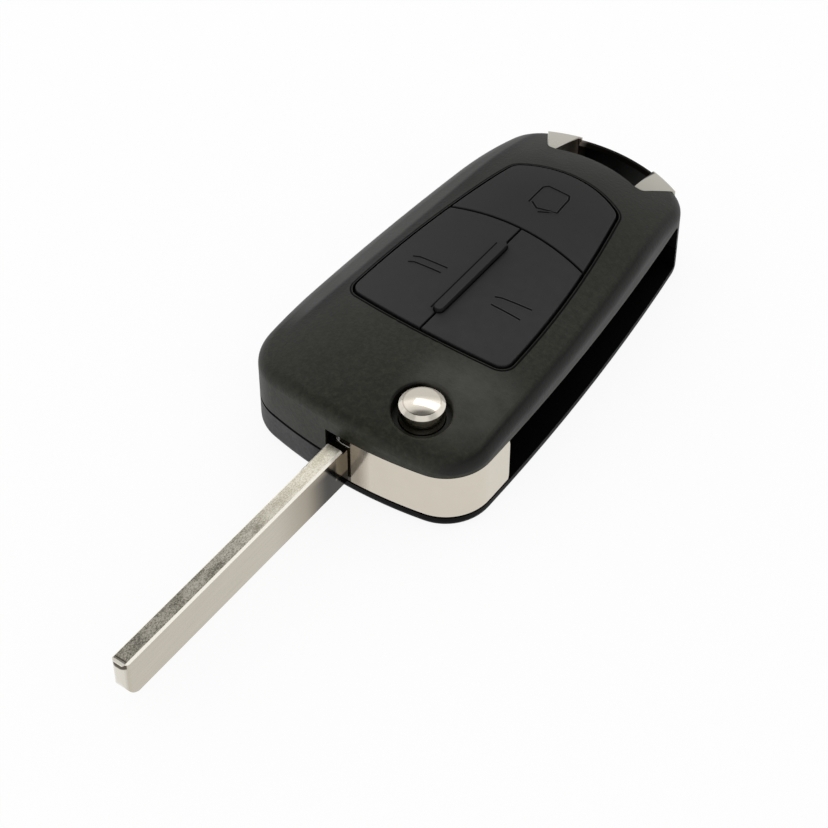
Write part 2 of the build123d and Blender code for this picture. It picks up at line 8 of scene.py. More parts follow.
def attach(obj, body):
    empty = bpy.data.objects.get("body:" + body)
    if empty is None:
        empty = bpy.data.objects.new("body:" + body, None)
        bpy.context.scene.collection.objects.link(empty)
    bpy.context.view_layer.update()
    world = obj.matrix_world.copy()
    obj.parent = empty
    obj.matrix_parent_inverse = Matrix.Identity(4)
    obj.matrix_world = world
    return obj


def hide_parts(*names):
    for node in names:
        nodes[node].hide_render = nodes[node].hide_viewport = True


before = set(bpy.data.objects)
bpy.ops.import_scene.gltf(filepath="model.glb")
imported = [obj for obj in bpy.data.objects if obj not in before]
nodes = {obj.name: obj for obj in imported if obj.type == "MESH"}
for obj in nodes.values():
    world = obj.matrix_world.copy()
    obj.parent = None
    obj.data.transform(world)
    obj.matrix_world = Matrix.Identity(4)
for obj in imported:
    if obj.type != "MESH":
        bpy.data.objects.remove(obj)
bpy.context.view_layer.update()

MM = 0.001
SAME_PLACE = 0.001           # vertices nearer than this, in millimetres, are one
SHARP = radians(28)          # edges bent more than this stay sharp
KEYS = ("left", "right", "boot")

# Picture
LENS = 108.696
EYE = (133.18, -182.95, 263.44)
EYE_TURN = (42.193, 0.0, 36.328)
FLOOR_SIZE = 4000
FLOOR_GLOW = 0.9             # share of plain white in what is seen of the floor
WHITE = (1.0, 1.0, 1.0)
FILL = (0.88, 0.88, 0.88)    # the room's light on matt surfaces
# Brightness of the ceiling, from straight across (0) to the camera's side (1)
CEILING_LEVELS = (
    (0, 0.62), (0.05, 0.72), (0.12, 1.0), (0.22, 0.88), (0.31, 0.7),
    (0.4, 0.14), (0.85, 0.12), (0.95, 0.8), (1, 0.8),
)
BACKDROP_TILT = (-0.15, 0.0, 1.0)   # the white backdrop reaches higher on the right
BACKDROP_TOP = (0.3, 0.46)          # and fades into the ceiling between these heights

# Places on the key, in millimetres
PIVOT_TO_MIDDLE = -8.3       # the casing's middle line
BLADE_TIP = -53.8
BLADE_SIDE = -6.9            # the blade's right side, which faces the camera
HEAD_FRONT = -6.6            # the head's front face lies just in front of this
STEP_START = -8.75           # where the blade's top is lowered in front of the head
STEP_FLOOR = 8.95
LIP = (-10.1, 5.2)           # front and top of the lower shell's lip beside the blade
KEY_TOP = 14.2               # above this the gasket is the raised bar
SLOT_SIDE = -9.6             # to the right of this the lower shell carries head and blade
SLOT_TOP = 10.3
SLOT_END = 55.0
PARTING = 5.4                # height of the line between the shells
CAP_EDGE = 2.65              # radius of the release button's dome
HIGHLIT_EDGE = -24.3            # left of this a painted highlight makes the casing's edge grey, measured at the pivot
EDGE_SLANT = 0.062           # and how far the line leans in towards the rear
SHEEN_SPOT = (3.5, 4.5, 16.0)     # centre of a painted sheen that makes the casing pale
SHEEN_REACH = 11.0
REAR_CENTRE = (-8.3, 36.5, 0.0)    # of the arc along the casing's rear
REAR_RADIUS = 25.4
OPENING = (-14.6, -2.0, 55.0)      # key-ring opening: left, right, front

# Dark colours that come more than once, mostly for painted shade
BLACK = (0.002, 0.002, 0.002)
SHADOW = (0.002, 0.002, 0.001)
GAP_BLACK = (0.0008, 0.0008, 0.0008)
GAP_REACH = 0.9              # painted shade turns gaps narrower than about this black

# Engraved marks on the keys: x from the middle line, y from the pivot
LOCK_STROKES = (
    ((-9.6, 22.25), (-8.6, 22.6), (-3.85, 22.65)),
    ((-9.5, 20.95), (-8.65, 21.3), (-4.1, 21.35)),
)
UNLOCK_STROKES = (
    ((4.75, 22.0), (5.7, 22.45), (10.1, 23.4)),
    ((5.15, 20.5), (9.85, 20.85)),
)
BOOT_STROKES = (
    ((-2.4, 40.7), (-2.45, 44.5), (-1.9, 45.15), (1.7, 45.15), (2.1, 44.4), (2.3, 41.1)),
    ((2.3, 41.1), (-0.1, 39.6)),
    ((-2.0, 41.0), (-0.7, 40.2), (2.3, 41.1)),
)
BAR_SHADOW_LINE = ((-1.13, 14.95), (-1.13, 30.95))   # painted shadow line beside the raised bar
STROKE_STEP = 0.35
# Profiles across a mark: side and height above the key
STROKE_RISE = 0.006
STROKE_PROFILE = (
    (-0.27, -0.01), (-0.2, 0.05), (-0.15, STROKE_RISE),
    (0.15, STROKE_RISE), (0.2, 0.05), (0.27, -0.01),
)
BAR_SHADOW_PROFILE = ((-0.14, STROKE_RISE), (0.0, STROKE_RISE), (0.14, STROKE_RISE))
RIM_PROFILE = (
    (0.02, -0.01), (0.04, 0.02), (0.09, 0.02),
    (0.12, STROKE_RISE), (0.37, STROKE_RISE), (0.41, -0.01),
)
WINDOW = ((-24.0, 8.0), (8.0, 53.0))          # area that holds the key window's edge
DROP_HEIGHT = 30.0           # the marks are laid down on the keys from here


def mm(*values):
    """Millimetres to metres."""
    return tuple(value * MM for value in values)


def tone(colour, share):
    """The same colour, darker or lighter."""
    return tuple(value * share for value in colour)


class Shading:
    """Short ways to add nodes to a material or to the room."""

    def __init__(self, tree):
        self.tree = tree

    def add(self, kind, **options):
        """New node, with its options set."""
        node = self.tree.nodes.new(kind)
        for option, value in options.items():
            setattr(node, option, value)
        return node

    def feed(self, value, socket):
        """Gives a socket a number, a colour or another node's output."""
        if isinstance(value, bpy.types.NodeSocket):
            self.tree.links.new(value, socket)
        elif socket.type == "RGBA":
            socket.default_value = (*value, 1.0)
        else:
            socket.default_value = value

    def number(self, operation, *values, clamp=False):
        """Math on numbers and outputs."""
        node = self.add("ShaderNodeMath", operation=operation, use_clamp=clamp)
        for value, socket in zip(values, node.inputs):
            self.feed(value, socket)
        return node.outputs[0]

    def vector(self, operation, *values):
        """Vector math node with its first inputs filled."""
        node = self.add("ShaderNodeVectorMath", operation=operation)
        for value, socket in zip(values, node.inputs):
            self.feed(value, socket)
        return node

    def range(self, source, low, high, to_low=0.0, to_high=1.0, smooth=False):
        """Output mapped from one range to another and held there."""
        node = self.add("ShaderNodeMapRange", interpolation_type="SMOOTHSTEP" if smooth else "LINEAR")
        self.feed(source, node.inputs["Value"])
        for name, value in (("From Min", low), ("From Max", high), ("To Min", to_low), ("To Max", to_high)):
            self.feed(value, node.inputs[name])
        return node.outputs["Result"]

    def mix(self, factor, first, second):
        """Colour between two colours."""
        node = self.add("ShaderNodeMix", data_type="RGBA")
        for value, index in ((factor, 0), (first, 6), (second, 7)):
            self.feed(value, node.inputs[index])
        return node.outputs[2]

    def where(self, *masks):
        """1 where every mask is 1."""
        total, *others = masks
        for mask in others:
            total = self.number("MULTIPLY", total, mask)
        return total

    def either(self, *masks):
        """1 where any mask is 1."""
        total, *others = masks
        for mask in others:
            total = self.number("MAXIMUM", total, mask)
        return total

    def seen_directly(self):
        """1 for rays that look straight at a surface or see it reflected or through glass."""
        path = self.add("ShaderNodeLightPath")
        return self.either(*(path.outputs[f"Is {ray} Ray"] for ray in ("Camera", "Glossy", "Transmission")))


class Finish(Shading):
    """A material with a principled shader, painted layer by layer."""

    def __init__(self, name, colour, roughness, metallic=0.0, **sockets):
        self.material = bpy.data.materials.new(name)
        self.material.use_nodes = True
        super().__init__(self.material.node_tree)
        self.shader = self.tree.nodes["Principled BSDF"]
        self.into(colour, "Base Color")
        self.into(roughness, "Roughness")
        self.into(metallic, "Metallic")
        for socket, value in sockets.items():
            self.into(value, socket.replace("_", " "))
        self.place = self.add("ShaderNodeTexCoord").outputs["Object"]

    def into(self, value, socket):
        """Gives one of the shader's sockets a value or a pattern."""
        self.feed(value, self.shader.inputs[socket])

    def painted(self):
        """The colour so far."""
        socket = self.shader.inputs["Base Color"]
        return socket.links[0].from_socket if socket.links else tuple(socket.default_value)[:3]

    def cover(self, mask, colour):
        """Another colour over the colour so far, where the mask is 1."""
        self.into(self.mix(mask, self.painted(), colour), "Base Color")

    def shade_gaps(self):
        """Painted shade: nearly no colour deep in a gap."""
        node = self.add("ShaderNodeAmbientOcclusion", samples=8)
        self.feed(GAP_REACH * MM, node.inputs["Distance"])
        openness = self.number("POWER", node.outputs["AO"], 1.5)
        self.into(self.mix(openness, GAP_BLACK, self.painted()), "Base Color")

    def noise(self, size, detail=2.0, stretch=(1.0, 1.0, 1.0), rough=0.5):
        """Cloudy pattern whose spots are about so many millimetres across."""
        spread = self.add("ShaderNodeMapping")
        self.feed(self.place, spread.inputs["Vector"])
        self.feed([1 / (size * MM * factor) for factor in stretch], spread.inputs["Scale"])
        node = self.add("ShaderNodeTexNoise", noise_dimensions="3D")
        self.feed(spread.outputs["Vector"], node.inputs["Vector"])
        for name, value in (("Scale", 1.0), ("Detail", detail), ("Roughness", rough)):
            self.feed(value, node.inputs[name])
        return node.outputs["Fac"]

    def cells(self, size):
        """Small pits about so many millimetres apart."""
        node = self.add("ShaderNodeTexVoronoi", feature="SMOOTH_F1")
        self.feed(self.place, node.inputs["Vector"])
        self.feed(1 / (size * MM), node.inputs["Scale"])
        return node.outputs["Distance"]

    def bump(self, *layers):
        """Relief from pairs of pattern and depth in millimetres."""
        normal = None
        for pattern, depth in layers:
            node = self.add("ShaderNodeBump")
            self.feed(1.0, node.inputs["Strength"])
            self.feed(depth * MM, node.inputs["Distance"])
            self.feed(pattern, node.inputs["Height"])
            if normal:
                self.feed(normal, node.inputs["Normal"])
            normal = node.outputs["Normal"]
        self.into(normal, "Normal")

    def part(self, vector, axis):
        """The X, Y or Z of a vector."""
        node = self.add("ShaderNodeSeparateXYZ")
        self.feed(vector, node.inputs[0])
        return node.outputs[axis]

    def along(self, axis, start, end, at_start=0.0, at_end=1.0, smooth=False):
        """Goes from one value to another between two places along an axis, in millimetres."""
        return self.range(self.part(self.place, axis), *mm(start, end), at_start, at_end, smooth)

    def facing(self, axis, low, high):
        """Goes from 0 to 1 as the surface turns towards an axis, between two cosines."""
        normal = self.add("ShaderNodeTexCoord").outputs["Normal"]
        return self.range(self.part(normal, axis), low, high)

    def away_from_sheen(self):
        """1 at the casing's rear left, 0 towards the release button: the mask of a painted shade, away from
        the painted sheen.
        """
        back = self.number("MULTIPLY", self.part(self.place, "Y"), 0.6)
        return self.range(self.number("SUBTRACT", self.part(self.place, "X"), back), *mm(-10, -36))

    def distance(self, centre, flat=False):
        """Distance in metres from a place given in millimetres, or from the upright line through it."""
        shift = self.vector("SUBTRACT", self.place, mm(*centre))
        if flat:
            shift = self.vector("MULTIPLY", shift.outputs["Vector"], (1.0, 1.0, 0.0))
        return self.vector("LENGTH", shift.outputs["Vector"]).outputs["Value"]


def moulded_casing(name, colour, parting, specular, dusty=1.0):
    """Matt spark-grained plastic, dusty, with a painted sheen round the release button, painted shade
    towards the rear left, painted shade and highlight along its edges, painted shade deep in its gaps;
    parting is 1 above the line and -1 below it.
    """
    finish = Finish(name, colour, 0.5, Specular_IOR_Level=specular)
    dark = tone(colour, 0.7)
    patches = finish.noise(9.0, 3.0)
    dust = finish.range(finish.noise(0.8, 5.0, rough=0.8), 0.42, 0.7, 0.0, dusty)
    finish.into(finish.mix(dust, finish.mix(patches, dark, colour), tone(colour, 2.1)), "Base Color")
    # Painted shade: darker towards the rear left.
    finish.cover(finish.away_from_sheen(), dark)
    # Painted sheen: a pale, mottled pool of light round the release button.
    painted_sheen = finish.range(finish.distance(SHEEN_SPOT), *mm(SHEEN_REACH, SHEEN_REACH * 0.3), smooth=True)
    uneven = finish.range(finish.noise(4.0, 5.0, rough=0.65), 0.25, 0.65, 0.4, 1.0)
    finish.cover(finish.where(painted_sheen, uneven), (0.054, 0.054, 0.046))
    darken_edges(finish)
    line = finish.along("Z", PARTING + parting * 0.34, PARTING + parting * 0.22)
    finish.cover(line, BLACK)
    finish.shade_gaps()
    finish.into(finish.range(patches, 0.3, 0.7, 0.44, 0.54), "Roughness")
    finish.bump((finish.cells(0.3), 0.016), (finish.noise(0.45, 4.0), 0.026))
    return finish


def darken_edges(finish):
    """Painted shade in a strip inside the casing's left edge, a painted highlight on that edge, and painted
    shade along the rounding of its right edge.
    """
    slant = finish.number("MULTIPLY", finish.part(finish.place, "Y"), EDGE_SLANT)
    across = finish.number("SUBTRACT", finish.part(finish.place, "X"), slant)
    behind_front = finish.along("Y", 1, 8, smooth=True)
    # Painted shade in a strip, then a painted highlight on the left edge.
    for start, end, colour in ((2.2, 0.6, SHADOW), (0.3, -0.4, (0.050, 0.050, 0.048))):
        strip = finish.range(across, *mm(HIGHLIT_EDGE + start, HIGHLIT_EDGE + end), smooth=True)
        finish.cover(finish.where(strip, behind_front), colour)
    # Painted shade on the right rounding above the slot.
    above_slot = finish.along("Z", SLOT_TOP + 0.4, SLOT_TOP + 0.6)
    finish.cover(finish.where(finish.facing("X", 0.3, 0.6), above_slot), SHADOW)


def upper_casing():
    """Casing plastic of the upper shell, with painted shade making it black inside the slot of the folded
    blade.
    """
    finish = moulded_casing("grained casing plastic", (0.0140, 0.0146, 0.0085), 1, 0.3)
    in_slot = finish.where(finish.along("Z", SLOT_TOP + 0.04, SLOT_TOP),
                           finish.along("X", SLOT_SIDE, SLOT_SIDE + 0.4),
                           finish.along("Y", SLOT_END + 0.3, SLOT_END + 0.2))
    # Painted shade: black inside the slot.
    finish.cover(in_slot, BLACK)
    return finish.material


def lower_casing():
    """The same plastic, made paler at its front left by painted light, and made black by painted shade
    where the head and the folded blade lie.
    """
    # Painted light: a paler copy of the casing plastic, dimmed towards the rear.
    finish = moulded_casing("grained casing plastic, underside", (0.085, 0.085, 0.085), -1, 0.06, 0.3)
    dimmed = finish.vector("SCALE", finish.painted())
    finish.feed(finish.along("Y", 0, 14, 1.0, 0.22, smooth=True), dimmed.inputs["Scale"])
    finish.into(dimmed.outputs["Vector"], "Base Color")
    # Painted shade: black where the head and the folded blade lie.
    finish.cover(finish.along("X", SLOT_SIDE - 5, SLOT_SIDE, smooth=True), BLACK)
    return finish.material


def silicone(name, colour):
    """Matt purple-grey silicone, with painted shade towards the rear left and deep in its gaps."""
    finish = Finish(name, colour, 0.6, Specular_IOR_Level=0.3)
    cloud = finish.mix(finish.noise(1.6, 3.0), tone(colour, 0.85), tone(colour, 1.25))
    finish.into(cloud, "Base Color")
    # Painted shade: darker towards the rear left.
    finish.cover(finish.away_from_sheen(), tone(colour, 0.6))
    finish.shade_gaps()
    finish.bump((finish.noise(0.16, 2.0), 0.006))
    return finish


def gasket_rubber():
    """Rubber of the keys, with painted shade making it near black down in the grooves."""
    finish = silicone("silicone gasket rubber", (0.0230, 0.0217, 0.0222))
    # Painted shade down in the grooves.
    finish.cover(finish.along("Z", KEY_TOP + 0.3, KEY_TOP - 0.3), BLACK)
    return finish.material


def satin_nickel(name, colour, roughness):
    """Satin nickel plate with faint clouds."""
    finish = Finish(name, colour, roughness, 1.0)
    clouds = finish.noise(2.6, 4.0)
    finish.into(finish.range(clouds, 0.3, 0.7, roughness - 0.04, roughness + 0.05), "Roughness")
    finish.into(finish.mix(clouds, tone(colour, 0.9), colour), "Base Color")
    finish.bump((finish.noise(0.3, 3.0), 0.0006))
    return finish


def ring_nickel():
    """Nickel of the ring end, with painted shade and dark reflection inside the key-ring opening and on the
    bar's inner half.
    """
    finish = satin_nickel("satin ring nickel", (0.47, 0.455, 0.395), 0.3)
    left, right, front = OPENING
    inside = finish.where(finish.along("X", left - 0.6, left - 0.4),
                          finish.along("X", right + 0.6, right + 0.4),
                          finish.along("Y", front, front + 0.3),
                          finish.range(finish.distance(REAR_CENTRE, flat=True),
                                       *mm(REAR_RADIUS - 0.25, REAR_RADIUS - 0.4)))
    bar_top = finish.where(finish.along("X", left, left + 0.05),
                           finish.along("X", right, right - 0.05),
                           finish.facing("Z", 0.5, 0.8))
    # Painted shade and dark reflection: brownish at the opening's left side, black further in.
    inside_shade = finish.mix(finish.along("X", left, left + 1.0), (0.20, 0.17, 0.14), (0.010, 0.009, 0.007))
    finish.cover(finish.either(inside, bar_top), inside_shade)
    return finish.material


def head_nickel():
    """Nickel of the swivel head, duller beside the blade, with painted shade above the blade and one
    painted glint on an edge there.
    """
    finish = satin_nickel("satin head nickel", (0.66, 0.61, 0.52), 0.16)
    beside_blade = finish.where(finish.along("X", -3.5, -5.5),
                                finish.along("Y", HEAD_FRONT, HEAD_FRONT - 0.4))
    finish.cover(beside_blade, (0.40, 0.345, 0.27))
    seam = finish.where(finish.along("X", BLADE_SIDE + 0.25, BLADE_SIDE + 0.2),
                        finish.along("Y", HEAD_FRONT - 0.3, HEAD_FRONT - 0.5))
    finish.cover(seam, (0.03, 0.022, 0.012))
    # Painted shade above the blade, crossed by a painted glint.
    above_blade = finish.where(finish.along("X", BLADE_SIDE + 0.15, BLADE_SIDE),
                               finish.along("Y", HEAD_FRONT, HEAD_FRONT - 0.2),
                               finish.along("Z", STEP_FLOOR - 0.05, STEP_FLOOR))
    painted_glint = finish.where(finish.along("Z", 9.02, 9.07), finish.along("Z", 9.26, 9.2))
    finish.cover(above_blade, finish.mix(painted_glint, (0.010, 0.008, 0.006), (0.55, 0.53, 0.49)))
    dulled = finish.range(beside_blade, 0.0, 1.0, 1.0, 0.5)
    finish.into(finish.number("SUBTRACT", dulled, above_blade, clamp=True), "Metallic")
    return finish.material


def blade_steel():
    """Milled nickel silver: speckled along the top and made paler towards the head by painted light,
    painted highlights on the edges and the tip's face, dull tan on the flank by the head, painted dark
    reflections on the flank and below the nose, painted shade in the step.
    """
    finish = Finish("milled blade steel", (0.60, 0.555, 0.47), 0.2, 1.0)
    streaks = finish.noise(0.6, 3.0, (0.6, 12.0, 0.6))
    finish.into(finish.mix(streaks, (0.47, 0.435, 0.365), (0.56, 0.52, 0.44)), "Base Color")
    flank_tan_and_shade(finish)
    # Painted light: the tip's front face lighter.
    finish.cover(finish.facing("Y", -0.5, -0.8), (0.69, 0.66, 0.59))
    top = finish.facing("Z", 0.93, 0.985)
    specks = finish.noise(0.22, 5.0, (0.8, 1.5, 0.8), rough=0.8)
    finish.cover(top, speckled_top(finish, specks))
    # Painted highlight along the edges, less metallic so that it shows.
    edge = finish.number("SUBTRACT", finish.facing("Z", 0.45, 0.6), top, clamp=True)
    finish.cover(edge, (1.0, 0.96, 0.86))
    # Painted reflection: a dark band below the nose and a dark crease line behind it.
    nose = finish.where(finish.along("Y", BLADE_TIP + 0.6, BLADE_TIP + 0.5),
                        finish.along("Z", 8.6, 8.8), finish.facing("Z", 0.65, 0.5))
    crease = finish.where(finish.along("Y", BLADE_TIP + 0.65, BLADE_TIP + 0.75),
                          finish.along("Y", BLADE_TIP + 1.0, BLADE_TIP + 0.85), top)
    finish.cover(finish.either(nose, crease), (0.10, 0.085, 0.065))
    # Painted shade on the step's floor.
    step = finish.where(finish.along("Y", STEP_START - 0.05, STEP_START + 0.05),
                        finish.along("Z", STEP_FLOOR + 0.1, STEP_FLOOR), finish.facing("Z", 0.9, 0.95))
    finish.cover(step, (0.02, 0.018, 0.012))
    finish.into(finish.range(edge, 0.0, 1.0, 1.0, 0.35), "Metallic")
    finish.into(finish.range(top, 0.0, 1.0, 0.13, 0.36), "Roughness")
    finish.bump((finish.where(specks, top), 0.006), (streaks, 0.0015))
    return finish.material


def flank_tan_and_shade(finish):
    """Tan towards the head, and a painted dark reflection of the shell just outside the casing's mouth and
    down behind the lip.
    """
    finish.cover(finish.along("Y", -25, -14, smooth=True), (0.30, 0.26, 0.20))
    lip_front, lip_top = LIP
    outside = finish.either(finish.along("Y", lip_front, lip_front - 0.4),
                            finish.along("Z", lip_top, lip_top - 0.4))
    # Painted reflection of the dark shell, low on the flank near the mouth.
    low = finish.along("Z", 9.8, 7.5, smooth=True)
    dark = finish.where(finish.along("Y", -17.5, -11.8, smooth=True), low, outside)
    finish.cover(dark, (0.020, 0.017, 0.012))


def speckled_top(finish, specks):
    """Pale specks on grey, both made paler towards the head by painted light."""
    clouds = finish.noise(1.6, 3.0, (0.7, 2.0, 0.7))
    # Painted light: the top lit paler towards the head.
    toward_head = finish.along("Y", -34, -13, smooth=True)
    dull = finish.range(finish.number("ADD", specks, finish.number("MULTIPLY", clouds, 0.4)), 0.6, 0.82)
    return finish.mix(dull, finish.mix(toward_head, (0.55, 0.52, 0.445), (1.0, 0.96, 0.82)),
                      finish.mix(toward_head, (0.14, 0.13, 0.105), (0.66, 0.61, 0.48)))


def polished_nickel():
    """Bright warm plate of the release button, with a painted highlight on its chamfer and a painted dark
    reflection just inside it.
    """
    finish = Finish("polished button nickel", (0.90, 0.84, 0.73), 0.08, 1.0)
    # Painted highlight on the chamfer, less metallic so that it shows.
    chamfer = finish.where(finish.facing("Z", 0.5, 0.65), finish.facing("Z", 0.92, 0.85))
    finish.cover(chamfer, (0.78, 0.73, 0.64))
    # Painted reflection: a darker ring just inside the chamfer.
    from_axis = finish.distance((0, 0, 0), flat=True)
    inside = finish.where(finish.range(from_axis, *mm(CAP_EDGE - 0.25, CAP_EDGE - 0.05)),
                          finish.facing("Z", 0.92, 0.96))
    finish.cover(inside, (0.56, 0.51, 0.43))
    finish.into(finish.range(chamfer, 0.0, 1.0, 1.0, 0.35), "Metallic")
    finish.into(finish.range(finish.noise(1.5, 2.0), 0.3, 0.7, 0.06, 0.11), "Roughness")
    finish.bump((finish.noise(0.8, 2.0), 0.0006))
    return finish.material


def plain_metal(name, colour, roughness, stretch):
    """Drawn or rolled metal with fine lines."""
    finish = Finish(name, colour, roughness, 1.0)
    lines = finish.noise(0.3, 3.0, stretch)
    finish.into(finish.mix(lines, tone(colour, 0.8), colour), "Base Color")
    finish.bump((lines, 0.003))
    return finish.material


def plain_plastic(name, colour, roughness):
    """Moulded inner plastic with a light texture."""
    finish = Finish(name, colour, roughness)
    finish.into(finish.mix(finish.noise(1.2, 3.0), tone(colour, 0.8), colour), "Base Color")
    finish.bump((finish.noise(0.3, 2.0), 0.006))
    return finish.material


def board_resist():
    """Green resist over copper tracks."""
    finish = Finish("board resist", (0.01, 0.10, 0.04), 0.3, Coat_Weight=0.5)
    tracks = finish.add("ShaderNodeTexBrick")
    finish.feed(finish.place, tracks.inputs["Vector"])
    finish.feed(1 / (2.4 * MM), tracks.inputs["Scale"])
    finish.feed(0.06, tracks.inputs["Mortar Size"])
    finish.into(finish.mix(tracks.outputs["Fac"], (0.008, 0.09, 0.035), (0.03, 0.17, 0.06)), "Base Color")
    return finish.material


def groove_shade():
    """Dark floor of the engraved marks: painted shade that stands for their depth."""
    finish = Finish("engraved line", BLACK, 0.8, Specular_IOR_Level=0.1)
    finish.bump((finish.noise(0.1, 2.0), 0.004))
    return finish.material


def of_each_key(what):
    """Names of the three keys' nodes of one kind."""
    return [f"{side}_{what}" for side in KEYS]


def dress(material, *names):
    """Gives CAD nodes a finish."""
    for name in names:
        for slot in nodes[name].material_slots:
            slot.material = material


def dress_all():
    """Every CAD node in its finish."""
    dress(upper_casing(), "upper_shell")
    dress(lower_casing(), "lower_shell")
    dress(silicone("silicone key rubber", (0.0260, 0.0246, 0.0251)).material, *of_each_key("key"))
    dress(gasket_rubber(), "key_gasket")
    dress(ring_nickel(), "ring_end")
    dress(head_nickel(), "swivel_head")
    dress(blade_steel(), "key_blade")
    dress(board_resist(), "circuit_board")
    for name, colour, roughness, stretch, pieces in (
        ("ground pin steel", (0.60, 0.58, 0.55), 0.3, (1, 1, 8), ["blade_pin"]),
        ("bright spring wire", (0.55, 0.54, 0.52), 0.3, (3, 3, 1),
         ["flip_spring", "battery_clip_plus", "battery_clip_minus"]),
        ("cell can steel", (0.75, 0.75, 0.74), 0.22, (4, 4, 1), ["coin_cell", "crystal"]),
    ):
        dress(plain_metal(name, colour, roughness, stretch), *pieces)
    for name, colour, roughness, pieces in (
        ("tray plastic", (0.02, 0.02, 0.021), 0.5, ["electronics_tray"]),
        ("chip plastic", (0.03, 0.03, 0.032), 0.45, ["transponder", "microcontroller", "antenna_coil"]),
        ("switch plastic", (0.08, 0.08, 0.082), 0.5, of_each_key("switch")),
        ("plunger plastic", (0.55, 0.50, 0.40), 0.4, of_each_key("plunger")),
    ):
        dress(plain_plastic(name, colour, roughness), *pieces)


def merged(node):
    """Copy of a CAD node's mesh with its loose triangles joined."""
    shape = bmesh.new()
    shape.from_mesh(nodes[node].data)
    bmesh.ops.remove_doubles(shape, verts=shape.verts, dist=SAME_PLACE * MM)
    return shape


def finished(shape, name, *materials):
    """Object from a bmesh, with its materials."""
    mesh = bpy.data.meshes.new(name)
    shape.to_mesh(mesh)
    shape.free()
    for material in materials:
        mesh.materials.append(material)
    piece = bpy.data.objects.new(name, mesh)
    bpy.context.scene.collection.objects.link(piece)
    return piece


def smooth_button():
    """The release button with its turned faces shaded smooth."""
    shape = merged("release_button")
    for face in shape.faces:
        face.smooth = True
    for edge in shape.edges:
        edge.smooth = edge.calc_face_angle(0.0) < SHARP
    button = finished(shape, "turned_release_button", polished_nickel())
    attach(button, "button")
    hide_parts("release_button")


def row(point, ahead, along):
    """Place on a line and the direction across it there, wider where the line turns."""
    widen = 1 / max(0.5, ahead.dot(along.normalized()))
    return point, Vector((ahead.y, -ahead.x)) * widen


def stroke_rows(stroke):
    """Rows along a stroke, a short step apart."""
    points = [Vector(stroke[0])]
    for target in map(Vector, stroke[1:]):
        start = points[-1].copy()
        count = max(1, round((target - start).length / STROKE_STEP))
        points += [start.lerp(target, (i + 1) / count) for i in range(count)]
    rows = []
    for i, point in enumerate(points):
        before, after = points[max(i - 1, 0)], points[min(i + 1, len(points) - 1)]
        ahead = (after - before).normalized()
        rows.append(row(point, ahead, point - before if i else ahead))
    return rows


def rim_rows():
    """Rows along the upper shell's edge round the keys, read from its mesh."""
    shape = merged("upper_shell")
    low, high = (Vector(mm(*corner)) for corner in WINDOW)
    follow = {}
    for edge in shape.edges:
        middle = (edge.verts[0].co + edge.verts[1].co) / 2
        in_window = low.x < middle.x < high.x and low.y < middle.y < high.y
        slopes = sorted(face.normal.z for face in edge.link_faces)
        if in_window and slopes[-1] > 0.9 and abs(slopes[0]) < 0.3:
            for near, far in (edge.verts, reversed(edge.verts)):
                follow.setdefault(near, []).append(far)
    start = vert = next(iter(follow))
    before, points = None, []
    while vert is not None:
        points.append(Vector((vert.co.x / MM - PIVOT_TO_MIDDLE, vert.co.y / MM)))
        ahead = [other for other in follow[vert] if other is not before]
        before, vert = vert, ahead[0] if ahead[0] is not start else None
    shape.free()
    turned = sum(a.x * b.y - b.x * a.y for a, b in zip(points, points[1:] + points[:1]))
    if turned < 0:
        points.reverse()
    rows = []
    for i, point in enumerate(points):
        before, after = points[i - 1], points[(i + 1) % len(points)]
        rows.append(row(point, (after - before).normalized(), after - point))
    return rows + rows[:1]


def draw_line(shape, rows, profile):
    """Profile extruded along a line's rows, flat, with its height as z."""
    point, across = rows[0]
    verts = [shape.verts.new((*(point + across * side), rise)) for side, rise in profile]
    edges = [shape.edges.new(pair) for pair in zip(verts, verts[1:])]
    for next_point, next_across in rows[1:]:
        grown = bmesh.ops.extrude_edge_only(shape, edges=edges)["geom"]
        new = {part for part in grown if isinstance(part, bmesh.types.BMVert)}
        for vert in new:
            side = (vert.co.xy - point).dot(across) / across.length_squared
            vert.co.xy = next_point + next_across * side
        grown_edges = [part for part in grown if isinstance(part, bmesh.types.BMEdge)]
        edges = [edge for edge in grown_edges if new.issuperset(edge.verts)]
        point, across = next_point, next_across


def engrave(name, node, lines, *materials):
    """Thin relief laid on a CAD node; each line has its rows and its profile, and a dark floor."""
    surface = BVHTree.FromObject(nodes[node], bpy.context.evaluated_depsgraph_get())
    shape = bmesh.new()
    for rows, profile in lines:
        draw_line(shape, rows, profile)
    bmesh.ops.remove_doubles(shape, verts=shape.verts, dist=SAME_PLACE)
    bmesh.ops.recalc_face_normals(shape, faces=shape.faces)
    for face in shape.faces:
        if face.normal.z < 0:
            face.normal_flip()
        lowest = all(vert.co.z < STROKE_RISE + 0.001 for vert in face.verts)
        face.material_index = 0 if lowest else 1
        face.smooth = True
    for vert in shape.verts:
        above = Vector(mm(PIVOT_TO_MIDDLE + vert.co.x, vert.co.y, DROP_HEIGHT))
        hit = surface.ray_cast(above, Vector((0, 0, -1)))[0]
        vert.co = hit + Vector(mm(0, 0, vert.co.z))
    return finished(shape, name, *materials)


